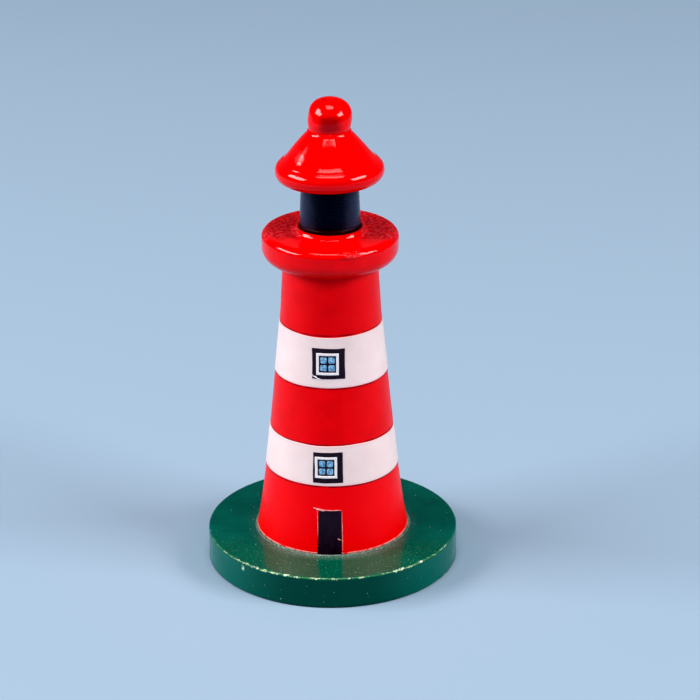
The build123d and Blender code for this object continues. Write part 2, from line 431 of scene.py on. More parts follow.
def glue_shape():
    """Squeezed-out glue: a low fillet round the foot, lumpy in width and height."""
    outline = joined(
        straight((FOOT_RADIUS - 0.3, BASE_TOP), (FOOT_RADIUS + 0.5, BASE_TOP), gap=0.2),
        through([(FOOT_RADIUS + 0.5, BASE_TOP), (FOOT_RADIUS + 0.25, BASE_TOP + 0.06),
                 (FOOT_RADIUS, BASE_TOP + 0.24), (FOOT_RADIUS - 0.3, BASE_TOP + 0.26)], 14),
    )[:-1]

    def uneven(angle, radius, height):
        """Lumps: the outer lip wanders, the crest rises and falls."""
        lip = ease(radius, FOOT_RADIUS, FOOT_RADIUS + 0.5)
        crest = ease(height, BASE_TOP + 0.02, BASE_TOP + 0.2)
        wide = lip * ripple(angle, 21, (3, 7, 11, 19, 31, 53), 0.16)
        return wide, crest * (-0.02 + ripple(angle, 22, (5, 9, 17, 29, 47), 0.05))

    return turned(outline, 540, uneven)


def gallery_shape():
    """Gallery disc: round lower corner, upright side, rounded upper edge, a nearly flat top, and
    a collar that rises steeply to the lantern's seat."""
    seat = DRUM_FOOT + 0.05
    lower = (11.6, 76.0)
    edge = 1.5
    collar_top = LANTERN_SEAT + 0.75
    edge_centre = (GALLERY_RADIUS - edge, GALLERY_TOP - edge)
    outline = joined(
        straight((BORE, TOWER_TOP), (lower[0], TOWER_TOP), gap=1.5),
        bend(lower, GALLERY_RADIUS - lower[0], lower[1] - TOWER_TOP, -90, 0, 30),
        straight((GALLERY_RADIUS, lower[1]), (GALLERY_RADIUS, edge_centre[1]), gap=0.3),
        bend(edge_centre, edge, edge, 0, 86, 26),
        through(
            [(edge_centre[0] + 0.1, GALLERY_TOP), (12.6, GALLERY_TOP - 0.10),
             (11.2, GALLERY_TOP - 0.18), (9.9, GALLERY_TOP - 0.22), (9.0, GALLERY_TOP - 0.20),
             (8.5, GALLERY_TOP - 0.08), (8.15, GALLERY_TOP + 0.20), (7.90, GALLERY_TOP + 0.55),
             (7.65, collar_top - 0.14), (7.35, collar_top), (seat, collar_top - 0.10)],
            80,
        ),
        straight((seat, collar_top - 0.10), (seat, LANTERN_SEAT), gap=0.2),
        straight((seat, LANTERN_SEAT), (BORE, LANTERN_SEAT), gap=1.5),
        straight((BORE, LANTERN_SEAT), (BORE, TOWER_TOP), gap=2),
    )[:-1]

    def uneven(angle, radius, height):
        """Top a little lower to the front, wrinkled paint on the front right of its edge."""
        outer = ease(radius, 9, 14)
        upper = ease(height, 76.8, 78.8) * ease(radius, 8.0, 11.0)
        turn = (angle + math.pi) % TAU - math.pi
        slope = -0.05 - 0.33 * np.cos(turn - 0.25) * radius / GALLERY_RADIUS
        place = lobe(turn, 0.50, 0.20) * lobe(radius, 14.2, 1.0) * upper
        wrinkle = np.sin(30 * turn + 4 * np.sin(9 * turn) + radius * 2.5)
        wrinkle = wrinkle * np.cos(radius * 4 + 11 * turn)
        grain = ripple(angle, 32, (23, 41, 67), 0.010)
        out = -0.04 * outer + outer * ripple(angle, 31, (1, 2, 3), 0.02)
        return out, upper * (slope + grain) + 0.10 * place * wrinkle

    return turned(outline, 480, uneven)


def lantern_shape():
    """Lantern drum, wider to its ragged foot, bored for the dowel."""
    foot_top = LANTERN_SEAT + 1.5
    neck = FLANGE_RADIUS - 0.6
    waist = DRUM_FOOT - 0.08
    outline = joined(
        straight((BORE, LANTERN_SEAT), (DRUM_FOOT, LANTERN_SEAT), gap=1),
        straight((DRUM_FOOT, LANTERN_SEAT), (DRUM_FOOT, foot_top - 0.1), gap=0.12),
        through([(DRUM_FOOT, foot_top - 0.1), (DRUM_FOOT - 0.02, foot_top + 0.1),
                 (waist, foot_top + 0.7)], 8),
        straight((waist, foot_top + 0.7), (neck, LANTERN_TOP), gap=0.2),
        straight((neck, LANTERN_TOP), (BORE, LANTERN_TOP), gap=1),
        straight((BORE, LANTERN_TOP), (BORE, LANTERN_SEAT), gap=2),
    )[:-1]

    def uneven(angle, radius, height):
        """Ragged foot, and fine turning rings on the drum."""
        outside = ease(radius, 6, 6.3)
        foot = 1 - ease(height, foot_top - 0.1, foot_top + 0.4)
        ragged = foot * ripple(angle, 41, (5, 9, 17, 31, 47), 0.05)
        gouged = -0.10 * foot * np.clip(ripple(height * 2.2, 42, (2, 3, 5), 1.0), 0, 1)
        rings = 0.010 * np.sin(height * 9) + 0.008 * np.sin(height * 23 + np.sin(angle))
        return outside * (ragged + gouged - 0.04 + rings), 0 * height

    return turned(outline, 320, uneven)


def roof_shape():
    """Roof: flat underside with a seat, rolled brim, tight valley, hollow flank, neck fillet."""
    seat = FLANGE_RADIUS - 0.55
    brim = 93.75
    brim_reach = 2.45
    brim_centre = ROOF_RADIUS - brim_reach
    crease = (10.85, 96.1)
    neck = 4.82
    outline = joined(
        straight((BORE, LANTERN_TOP), (seat, LANTERN_TOP), gap=1),
        straight((seat, LANTERN_TOP), (seat, ROOF_BOTTOM), gap=0.2),
        straight((seat, ROOF_BOTTOM), (brim_centre, ROOF_BOTTOM), gap=0.6),
        bend((brim_centre, brim), brim_reach, brim - ROOF_BOTTOM, -90, 62, 54),
        through([crease, (10.40, 96.35), (9.78, 96.95), (9.12, 97.72), (8.28, 98.75), (7.52, 99.65),
                 (6.48, 100.85), (5.52, 101.9), (5.03, 102.45), (neck, ROOF_TOP)], 60),
        straight((neck, ROOF_TOP), (BORE, ROOF_TOP), gap=0.6),
        straight((BORE, ROOF_TOP), (BORE, LANTERN_TOP), gap=2),
    )[:-1]

    def uneven(angle, radius, height):
        """Brim that droops a little to the left and right of true, thick soft enamel."""
        outer = ease(radius, 6.5, 12)
        droop = outer * (0.16 * np.sin(angle) + ripple(angle, 51, (2, 3), 0.03))
        return -0.04 * outer + outer * ripple(angle, 52, (2, 3, 5), 0.015), droop - 0.05 * outer

    return turned(outline, 420, uneven)


def knob_shape():
    """Knob: a bulb with a low dome, more sloping at the front than at the back, bored below."""
    neck = 4.55
    count = 100
    side = through(
        [(neck, ROOF_TOP), (4.72, 103.6), (4.88, 104.6), (KNOB_RADIUS, 105.7), (4.85, 106.9),
         (4.55, 107.95), (4.05, 108.7), (3.3, 109.35), (2.4, 109.78), (1.2, 110.1), (0.0, SUMMIT)],
        count,
    )
    front_side = through(
        [(neck, ROOF_TOP), (4.72, 103.6), (4.86, 104.4), (4.86, 105.3), (4.74, 106.3),
         (4.48, 107.2), (4.05, 107.95), (3.5, 108.65), (2.6, 109.35), (1.4, 109.95), (0.0, SUMMIT)],
        count,
    )
    outline = joined(
        straight((0.0, BORE_ROOF), (BORE, BORE_ROOF), gap=1),
        straight((BORE, BORE_ROOF), (BORE, ROOF_TOP), gap=2),
        straight((BORE, ROOF_TOP), (neck, ROOF_TOP), gap=0.5),
        side,
    )
    lower_front = np.zeros((len(outline) - 2, 2))
    lower_front[2 - count:] = (front_side - side)[1:-1]

    def uneven(angle, radius, height):
        """Dome lower to the front, left side shaved, top torn where it left the lathe."""
        outside = np.maximum(ease(radius, 2.7, 3.3) * ease(height, ROOF_TOP, ROOF_TOP + 0.5),
                             ease(height, 108.9, 109.6))
        front = ease(np.cos(angle), -0.1, 0.7)
        left = np.clip(-np.sin(angle), 0, 1)
        right = np.clip(np.sin(angle), 0, 1)
        share = radius / KNOB_RADIUS
        shave = share * (0.12 * right * lobe(height, 106.6, 2.0)
                         - left * (0.10 + 0.24 * ease(height, 104.0, 107.0)))
        torn = 0.05 * left * ease(height, 109.2, 109.9) * np.sin(9 * angle + 3 * radius)
        wider = outside * shave + front * lower_front[:, :1]
        return wider, front * lower_front[:, 1:] - outside * np.abs(torn)

    return turned(outline, 240, uneven)


# ---------------------------------------------------------------- finishes

class Finish:
    """A material joined up node by node. Its patterns read the place on the figure in mm."""

    def __init__(self, name):
        self.material = bpy.data.materials.new(name)
        self.material.use_nodes = True
        self.tree = self.material.node_tree
        self.shader = self.tree.nodes["Principled BSDF"]
        spot = self.node("ShaderNodeTexCoord").outputs["Object"]
        scaled = self.node("ShaderNodeVectorMath", operation="SCALE")
        self.join(spot, scaled.inputs[0])
        self.join(1 / MM, scaled.inputs["Scale"])
        self.spot = scaled.outputs["Vector"]
        split = self.node("ShaderNodeSeparateXYZ")
        self.join(self.spot, split.inputs[0])
        self.across, self.deep, self.height = split.outputs
        self.radius = self.sum("SQRT", self.sum("ADD", self.sum("POWER", self.across, 2.0),
                                                self.sum("POWER", self.deep, 2.0)))
        self.angle = self.sum("ARCTAN2", self.across, self.sum("MULTIPLY", self.deep, -1.0))

    def node(self, kind, **settings):
        """A new node with its settings."""
        node = self.tree.nodes.new(kind)
        for key, value in settings.items():
            setattr(node, key, value)
        return node

    def join(self, source, socket):
        """Link an output to a socket, or set the socket to a plain value."""
        if isinstance(source, bpy.types.NodeSocket):
            self.tree.links.new(source, socket)
        elif isinstance(source, tuple) and socket.type == "RGBA":
            socket.default_value = (*source, 1.0)
        else:
            socket.default_value = source

    def set(self, **values):
        """Set or link sockets of the shader, by their names with _ for spaces."""
        for key, value in values.items():
            self.join(value, self.shader.inputs[key.replace("_", " ")])

    def sum(self, operation, *values):
        """A math node."""
        node = self.node("ShaderNodeMath", operation=operation)
        for value, socket in zip(values, node.inputs):
            self.join(value, socket)
        return node.outputs[0]

    def product(self, *values):
        """All the values multiplied."""
        total = values[0]
        for value in values[1:]:
            total = self.sum("MULTIPLY", total, value)
        return total

    def step(self, value, start, end, low=0.0, high=1.0):
        """A smooth step of value between start and end, from low to high."""
        node = self.node("ShaderNodeMapRange", interpolation_type="SMOOTHSTEP")
        for source, socket in zip((value, start, end, low, high), node.inputs):
            self.join(source, socket)
        return node.outputs[0]

    def near(self, value, centre, width):
        """1 where value is at centre, 0 from width away."""
        off = self.sum("ABSOLUTE", self.sum("SUBTRACT", value, centre))
        return self.step(off, width * 0.35, width, 1.0, 0.0)

    def noise(self, size, detail=2.0, roughness=0.5, stretch=(1, 1, 1), warp=0.0, seed=0.0):
        """Noise whose features are about size mm, longer along the axes where stretch is over 1."""
        mapping = self.node("ShaderNodeMapping")
        self.join(self.spot, mapping.inputs["Vector"])
        mapping.inputs["Scale"].default_value = [1 / (size * s) for s in stretch]
        mapping.inputs["Location"].default_value = (seed, seed * 1.7, seed * 0.6)
        node = self.node("ShaderNodeTexNoise")
        self.join(mapping.outputs[0], node.inputs["Vector"])
        settings = {"Scale": 1.0, "Detail": detail, "Roughness": roughness, "Distortion": warp}
        for key, value in settings.items():
            node.inputs[key].default_value = value
        return node.outputs["Fac"]

    def blend(self, share, first, second):
        """Colour that goes from first to second with share."""
        node = self.node("ShaderNodeMix", data_type="RGBA")
        for source, place in ((share, 0), (first, 6), (second, 7)):
            self.join(source, node.inputs[place])
        return node.outputs[2]

    def relief(self, *layers):
        """Bump of layers (value, depth in mm), added up."""
        total = 0.0
        for value, depth in layers:
            total = self.sum("MULTIPLY_ADD", value, depth, total)
        bump = self.node("ShaderNodeBump")
        bump.inputs["Strength"].default_value = 1.0
        bump.inputs["Distance"].default_value = MM
        self.join(total, bump.inputs["Height"])
        self.join(bump.outputs[0], self.shader.inputs["Normal"])


def green_enamel():
    """Green enamel of the base: chipped edge, specks, painted glints, and dust round the tower's foot.
    """
    f = Finish("green_enamel")
    front = f.step(f.deep, -4.0, -16.0)
    ends = f.sum("MAXIMUM", f.near(f.angle, -0.50, 0.45), f.near(f.angle, 0.62, 0.30))
    patch = f.step(f.noise(7, 3, 0.6, seed=2), 0.3, 0.7)
    paint = f.blend(patch, (0.0010, 0.102, 0.080), (0.0012, 0.132, 0.102))
    streak = f.noise(1.2, 4, 0.65, stretch=(1, 1, 7), seed=5)
    paint = f.blend(f.step(streak, 0.5, 0.8, 0.0, 0.25), paint, (0.004, 0.145, 0.085))

    # These two stand in for light and reflection seen from the front, not for real paint: a
    # greener front, and an upright side that is darker at the front than at the left and right.
    paint = f.blend(f.product(front, 0.55), paint, (0.0030, 0.088, 0.040))
    flank = f.step(f.sum("ABSOLUTE", f.across), 8.0, 27.0)
    wall_paint = f.blend(flank, (0.0010, 0.064, 0.046), (0.0006, 0.150, 0.115))
    wall = f.step(f.height, BASE_TOP - 0.3, BASE_TOP - 0.7)
    paint = f.blend(f.product(wall, 0.85), paint, wall_paint)

    # Chips grow from the top edge, most of all at both ends of the front.
    inward = f.sum("SUBTRACT", BASE_RADIUS, f.radius)
    rim = f.sum("ADD", inward, f.sum("SUBTRACT", BASE_TOP, f.height))
    crumbs = f.product(f.noise(0.24, 3, 0.7, seed=8), 0.5)
    runs = f.product(f.noise(1.4, 2, 0.5, seed=11), 0.5)
    frontal = f.product(front, f.sum("ADD", 0.17, f.product(ends, 0.12)))
    reach = f.product(f.step(f.sum("ADD", crumbs, runs), 0.41, 0.62), f.sum("ADD", 0.10, frontal))
    chipped = f.step(f.sum("SUBTRACT", rim, reach), 0.19, 0.13)
    # A paler green line along the top edge, strongest at the front: partly worn paint, partly a painted
    # edge highlight.
    worn_edge_and_highlight = f.product(f.step(rim, 0.46, 0.28), f.sum("ADD", 0.15, f.product(front, 0.65)))
    paint = f.blend(worn_edge_and_highlight, paint, (0.060, 0.26, 0.105))
    gouge = f.product(f.near(f.angle, -0.755, 0.018), f.near(f.height, 5.9, 0.9),
                      f.step(f.radius, 28.4, 28.7),
                      f.step(f.noise(0.30, 2, 0.5, seed=3), 0.44, 0.50))
    specks = f.step(f.noise(0.45, 1, 0.5, seed=17), 0.775, 0.80)
    bare = f.sum("MAXIMUM", f.sum("MAXIMUM", chipped, gouge), specks)
    primed = f.step(f.noise(0.8, 2, 0.5, seed=20), 0.35, 0.6)
    chip_colour = f.blend(primed, (0.36, 0.66, 0.30), (0.86, 0.95, 0.76))

    # Grey dust round the foot, and fine painted glints (painted highlights) over the front, on the top
    # face only.
    top_face = f.step(f.height, BASE_TOP - 0.3, BASE_TOP - 0.1)
    ring = f.product(f.step(f.radius, FOOT_RADIUS + 3.2, FOOT_RADIUS + 0.2), top_face)
    grit = f.step(f.noise(0.35, 3, 0.7, seed=23), 0.42, 0.62)
    dust = f.product(ring, grit, f.sum("ADD", 0.12, f.product(front, 0.60)))
    paint = f.blend(dust, paint, (0.26, 0.33, 0.29))
    painted_glints = f.product(front, top_face, f.step(f.noise(0.34, 2, 0.6, seed=27), 0.64, 0.70))
    paint = f.blend(f.product(painted_glints, 0.75), paint, (0.30, 0.44, 0.24))

    gloss = f.step(f.noise(2.2, 3, 0.6, seed=29), 0.3, 0.7, 0.12, 0.23)
    dull = f.product(f.sum("MAXIMUM", bare, dust), 0.7)
    f.set(Base_Color=f.blend(bare, paint, chip_colour), Roughness=f.sum("MAXIMUM", gloss, dull))
    f.set(Specular_IOR_Level=0.36)
    f.relief((f.noise(3.5, 3, 0.5, seed=31), 0.035), (f.noise(0.5, 2, 0.5, seed=33), 0.004),
             (bare, -0.06), (dust, 0.03), (streak, 0.010))
    return f.material


def red_satin_enamel():
    """Red enamel of the tower: satin, a dark line beside each band, rubbed pale at the foot."""
    f = Finish("red_satin_enamel")
    patch = f.step(f.noise(5, 3, 0.6, seed=43), 0.3, 0.7)
    paint = f.blend(patch, (0.78, 0.0012, 0.0030), (0.86, 0.0020, 0.0040))
    # Stands in for light: the tower brightens towards its foot.
    paint = f.blend(f.step(f.height, 40.0, 12.0, 0.0, 0.8), paint, (0.98, 0.0022, 0.0050))
    lines = 0.0
    for node in ("white_band_lower", "white_band_upper"):
        for edge in (low(node).z - 0.10, high(node).z + 0.10):
            lines = f.sum("MAXIMUM", lines, f.near(f.height, edge, 0.24))
    wander = f.step(f.noise(2.5, 2, 0.5, seed=41), 0.3, 0.6, 0.25, 0.85)
    paint = f.blend(f.product(lines, wander), paint, (0.16, 0.0015, 0.006))
    rubbed = f.product(f.near(f.height, BASE_TOP + 0.42, 0.22),
                       f.step(f.noise(1.1, 3, 0.6, seed=47), 0.36, 0.5))
    paint = f.blend(f.product(rubbed, 0.8), paint, (0.90, 0.52, 0.46))
    f.set(Base_Color=paint)
    brushed = f.noise(0.8, 3, 0.6, stretch=(6, 6, 0.6), seed=51)
    f.set(Roughness=f.step(brushed, 0.3, 0.7, 0.34, 0.43), Specular_IOR_Level=0.32)
    f.relief((f.noise(2.4, 2, 0.5, seed=53), 0.012), (brushed, 0.004),
             (f.noise(0.25, 2, 0.5, seed=55), 0.0015), (rubbed, 0.02))
    return f.material


def red_gloss(name, flaw):
    """Thick red gloss enamel with one flaw: "pitted" for the gallery, "dulled" for the roof's left
    flank, "torn" for the knob."""
    f = Finish(name)
    patch = f.step(f.noise(4, 2, 0.5, seed=61), 0.3, 0.7)
    paint = f.blend(patch, (0.80, 0.0012, 0.0028), (0.88, 0.0018, 0.0036))
    layers = [(f.noise(2.6, 2, 0.5, seed=63), 0.016), (f.noise(0.7, 2, 0.5, seed=65), 0.0022)]
    roughness = f.step(f.noise(1.5, 2, 0.5, seed=67), 0.3, 0.7, 0.07, 0.12)
    if flaw == "pitted":
        ragged = f.product(f.noise(4, 2, 0.5, seed=69), 3.0)
        sides = f.step(f.sum("ADD", f.sum("ABSOLUTE", f.across), ragged), 7.5, 9.5)
        ragged = f.product(f.noise(3, 2, 0.5, seed=70), 4.0)
        back = f.step(f.sum("ADD", f.deep, ragged), -5.0, -1.5)
        open_face = f.product(sides, f.step(f.height, 78.4, 79.1), back)
        pores = f.noise(0.46, 3, 0.6, stretch=(1.7, 0.8, 1), seed=71)
        pits = f.product(open_face, f.step(pores, 0.46, 0.62))
        paint = f.blend(f.product(pits, 0.62), paint, (0.12, 0.0015, 0.008))
        # A painted sheen: pinkish lighter red between the pits on the open end grain.
        painted_sheen = f.product(open_face, f.step(pores, 0.46, 0.36))
        paint = f.blend(f.product(painted_sheen, 0.42), paint, (0.88, 0.18, 0.30))
        roughness = f.sum("MAXIMUM", roughness, f.product(open_face, 0.26))
        wrinkled = f.product(f.near(f.across, 4.6, 3.4), f.step(f.deep, -11.0, -13.0),
                             f.step(f.height, 77.6, 78.4), f.noise(0.8, 3, 0.6, seed=73))
        layers += [(f.product(open_face, pores), -0.45), (wrinkled, 0.42)]
    elif flaw == "torn":
        torn = f.product(f.step(f.height, SUMMIT - 1.5, SUMMIT - 0.5), f.step(f.across, 1.0, -1.5))
        scars = f.noise(0.5, 3, 0.65, seed=75)
        dark = f.product(torn, f.step(scars, 0.52, 0.60))
        paint = f.blend(f.product(dark, 0.8), paint, (0.14, 0.0015, 0.005))
        # Stands in for shade and reflection seen from the front, not for real paint.
        shaded = f.product(f.near(f.height, 105.2, 2.4), f.near(f.across, 0.2, 3.2),
                           f.step(f.deep, -1.0, -3.5))
        paint = f.blend(f.product(shaded, 0.8), paint, (0.30, 0.0008, 0.0020))
        layers += [(f.product(torn, scars), 0.12)]
    else:
        dull = f.product(f.near(f.across, -8.2, 3.2), f.near(f.height, 99.0, 2.6),
                         f.step(f.deep, 3.0, 0.0))
        roughness = f.sum("MAXIMUM", roughness, f.product(dull, 0.24))
        layers += [(f.product(dull, f.noise(0.8, 3, 0.6, seed=77)), 0.10)]
    f.set(Base_Color=paint, Roughness=roughness, Specular_IOR_Level=0.38)
    f.relief(*layers)
    return f.material


def black_satin_paint():
    """Blue-black paint of the lantern, brushed round it, thin and brownish at its rough foot."""
    f = Finish("black_satin_paint")
    rings = f.noise(0.5, 4, 0.65, stretch=(9, 9, 0.8), seed=81)
    paint = f.blend(f.step(rings, 0.35, 0.7), (0.0010, 0.0008, 0.004), (0.003, 0.003, 0.014))
    # The bluer sides stand in for a reflection seen from the front, not for real paint.
    ragged = f.product(f.noise(2.5, 3, 0.6, seed=85), 2.0)
    sides = f.step(f.sum("ADD", f.sum("ABSOLUTE", f.across), ragged), 3.6, 7.2)
    paint = f.blend(sides, paint, (0.024, 0.030, 0.070))
    foot = f.step(f.height, LANTERN_SEAT + 2.1, LANTERN_SEAT + 1.2)
    paint = f.blend(foot, paint, (0.012, 0.004, 0.004))
    worn = f.product(foot, f.step(f.noise(0.5, 3, 0.6, seed=83), 0.60, 0.68))
    paint = f.blend(f.product(worn, 0.7), paint, (0.09, 0.02, 0.018))
    nicks = f.step(f.noise(0.4, 2, 0.5, stretch=(2, 2, 0.7), seed=87), 0.74, 0.78)
    paint = f.blend(f.product(nicks, 0.6), paint, (0.13, 0.14, 0.17))
    gloss = f.sum("MAXIMUM", f.step(rings, 0.3, 0.7, 0.20, 0.32), f.product(foot, 0.62))
    f.set(Base_Color=paint, Roughness=gloss, Specular_IOR_Level=0.32)
    lumps = f.sum("SUBTRACT", f.noise(0.6, 3, 0.7, seed=89), 0.5)
    f.relief((rings, 0.014), (f.product(foot, lumps), 0.14))
    return f.material


def white_paint():
    """White paint of the bands, faintly pink where it thins over the red."""
    f = Finish("white_paint")
    patch = f.step(f.noise(6, 3, 0.6, seed=91), 0.3, 0.7)
    paint = f.blend(patch, (0.88, 0.71, 0.69), (0.91, 0.76, 0.74))
    edges = 0.0
    for node in ("white_band_lower", "white_band_upper"):
        for edge in (low(node).z, high(node).z):
            edges = f.sum("MAXIMUM", edges, f.near(f.height, edge, 0.9))
    paint = f.blend(f.product(edges, 0.45), paint, (0.88, 0.58, 0.58))
    smudge = f.step(f.noise(1.0, 4, 0.7, seed=93), 0.66, 0.74)
    paint = f.blend(f.product(smudge, 0.25), paint, (0.62, 0.48, 0.50))
    f.set(Base_Color=paint)
    brushed = f.noise(0.7, 3, 0.6, stretch=(7, 7, 0.6), seed=95)
    f.set(Roughness=f.step(brushed, 0.3, 0.7, 0.33, 0.42), Specular_IOR_Level=0.35)
    f.relief((brushed, 0.005), (f.noise(2.0, 2, 0.5, seed=97), 0.010))
    return f.material


def white_mark_paint():
    """Whiter paint of the window frames and the scratches beside them."""
    f = Finish("white_mark_paint")
    strokes = f.noise(0.5, 3, 0.6, seed=99)
    f.set(Base_Color=f.blend(f.step(strokes, 0.35, 0.7), (0.84, 0.80, 0.80), (0.93, 0.90, 0.90)))
    f.set(Roughness=f.step(strokes, 0.3, 0.7, 0.34, 0.44))
    f.relief((strokes, 0.015))
    return f.material


def black_mark_paint():
    """Near-black paint of the door and window surrounds, with dry strokes and dust."""
    f = Finish("black_mark_paint")
    strokes = f.noise(0.5, 4, 0.7, stretch=(0.7, 1, 5), seed=101)
    paint = f.blend(f.step(strokes, 0.35, 0.75), (0.010, 0.001, 0.007), (0.026, 0.008, 0.022))
    dust = f.step(f.noise(0.3, 2, 0.5, seed=103), 0.74, 0.80)
    paint = f.blend(f.product(dust, 0.5), paint, (0.10, 0.11, 0.12))
    f.set(Base_Color=paint, Roughness=f.step(strokes, 0.3, 0.7, 0.36, 0.50))
    f.relief((strokes, 0.012), (dust, 0.01))
    return f.material


def blue_mark_paint():
    """Sky blue of the panes, dabbed on unevenly."""
    f = Finish("blue_mark_paint")
    dabs = f.noise(0.55, 3, 0.6, warp=0.6, seed=111)
    paint = f.blend(f.step(dabs, 0.38, 0.64), (0.07, 0.25, 0.48), (0.36, 0.62, 0.80))
    f.set(Base_Color=paint, Roughness=f.step(dabs, 0.3, 0.7, 0.30, 0.42))
    f.relief((dabs, 0.03))
    return f.material


def pink_edge_paint():
    """Thin pinkish white that shows where a mark's edge was scraped."""
    f = Finish("scraped_pink_edge")
    worn = f.noise(0.5, 3, 0.6, seed=121)
    f.set(Base_Color=f.blend(f.step(worn, 0.35, 0.65), (0.80, 0.16, 0.17), (0.88, 0.50, 0.50)))
    f.set(Roughness=f.step(worn, 0.3, 0.7, 0.40, 0.52))
    f.relief((worn, 0.02))
    return f.material


def dried_glue():
    """Dried glue at the foot: cloudy, full of grey-green dust."""
    f = Finish("dried_glue")
    grit = f.noise(0.45, 3, 0.7, seed=131)
    paint = f.blend(f.step(grit, 0.36, 0.66), (0.012, 0.075, 0.050), (0.26, 0.32, 0.27))
    f.set(Base_Color=paint, Roughness=f.step(grit, 0.3, 0.7, 0.30, 0.55))
    f.relief((grit, 0.06))
    return f.material


def bare_beech():
    """Bare beech of the dowel: pale, with short dark flecks along the grain."""
    f = Finish("bare_beech")
    grain = f.noise(0.5, 3, 0.6, stretch=(1, 1, 12), seed=141)
    flecks = f.step(f.noise(0.3, 2, 0.5, stretch=(1, 1, 6), seed=143), 0.60, 0.68)
    wood = f.blend(f.step(grain, 0.3, 0.7), (0.56, 0.38, 0.22), (0.68, 0.50, 0.32))
    f.set(Base_Color=f.blend(f.product(flecks, 0.6), wood, (0.33, 0.19, 0.10)))
    f.set(Roughness=f.step(grain, 0.3, 0.7, 0.55, 0.70))
    f.relief((grain, 0.03), (flecks, -0.02))
    return f.material


def zinc_steel():
    """Zinc-plated steel of the screw: cloudy plating, small scuffs."""
    f = Finish("zinc_steel")
    cloud = f.noise(1.2, 3, 0.6, seed=151)
    scuffs = f.noise(0.25, 2, 0.6, stretch=(4, 1, 1), seed=153)
    f.set(Base_Color=f.blend(f.step(cloud, 0.3, 0.7), (0.50, 0.51, 0.53), (0.68, 0.68, 0.67)))
    f.set(Roughness=f.step(cloud, 0.3, 0.7, 0.26, 0.42), Metallic=1.0)
    f.relief((scuffs, 0.006), (cloud, 0.004))
    return f.material


# ---------------------------------------------------------------- the pieces

def mark_box(node):
    """Centre, width and height of a painted mark's part."""
    size = high(node) - low(node)
    return middle(node), size.x, size.z


def paint_door(black, pink):
    """Door: black rectangle down to the foot, a thin scraped line round it, and two scratches.

    Each stroke is start, end, width, lift off the wood, coat and seed."""
    centre, width, height = mark_box("door_panel")
    left, right, top = centre[0] - width / 2, centre[0] + width / 2, centre[1] + height / 2
    sheet = painted_sheet((centre[0], centre[1] + 0.03), width - 0.1, height - 0.1, 0.0, MARK_COAT,
                          0.05, 5, lean=-0.25)
    add_piece("door_panel", sheet, "black_mark_paint", black, "door_panel")
    edges = [
        painted_stroke((left - 0.12, top + 0.1), (left + 0.22, BASE_TOP + 0.7), 0.20, 0, 0.05, 71),
        painted_stroke((left - 0.5, top + 0.16), (right + 0.15, top + 0.1), 0.24, 0, 0.05, 72),
        painted_stroke((right + 0.13, top), (right + 0.17, BASE_TOP + 0.7), 0.18, 0, 0.05, 73),
        painted_stroke((left - 1.1, top + 0.62), (left + 1.55, top - 0.1), 0.50, 0.06, 0.06, 74),
        painted_stroke((right - 0.95, 11.35), (right - 0.05, 10.85), 0.24, MARK_COAT, 0.04, 75),
    ]
    add_piece("door_scraped_edge", together(edges), "white_paint", pink)


def paint_window(which, black, white, blue, seed):
    """Window: black surround, white square line on it, and four blue panes."""
    node = f"window_surround_{which}"
    centre, width, height = mark_box(node)
    surround = painted_sheet(centre, width - 0.1, height - 0.1, BAND_COAT, MARK_COAT, 0.06, seed)
    add_piece(node, surround, "black_mark_paint", black, node)
    node = f"window_frame_{which}"
    centre, width, height = mark_box(node)
    lift = BAND_COAT + MARK_COAT
    line = painted_square_line(centre, width - 0.04, FRAME_LINE, lift, MARK_COAT, 0.012, seed + 1)
    add_piece(node, line, "white_paint", white, node)
    node = f"window_panes_{which}"
    centre, width, height = mark_box(node)
    dabs = []
    for row, column in ((-1, -1), (-1, 1), (1, -1), (1, 1)):
        spot = (centre[0] + column * (width - PANE_SIZE) / 2,
                centre[1] + row * (height - PANE_SIZE) / 2)
        dabs.append(painted_dab(spot, PANE_SIZE, lift, MARK_COAT, seed + 5 * row + column + 20))
    add_piece(node, together(dabs), "blue_mark_paint", blue, node)


def chip_window_corner(white):
    """White scratches across the lower left corner of the upper window's surround."""
    left, bottom = low("window_surround_upper").x, low("window_surround_upper").z
    lift = BAND_COAT + MARK_COAT - 0.01
    scratches = [
        painted_stroke((left - 0.05, bottom + 0.98), (left + 0.45, bottom + 0.66), 0.22, lift, 0.06, 81),
        painted_stroke((left + 0.30, bottom + 0.74), (left + 1.15, bottom + 0.30), 0.40, lift, 0.07, 82),
        painted_stroke((left + 1.00, bottom + 0.36), (left + 2.05, bottom + 0.05), 0.34, lift, 0.07, 83),
    ]
    add_piece("window_corner_scratches", together(scratches), "white_paint", white)


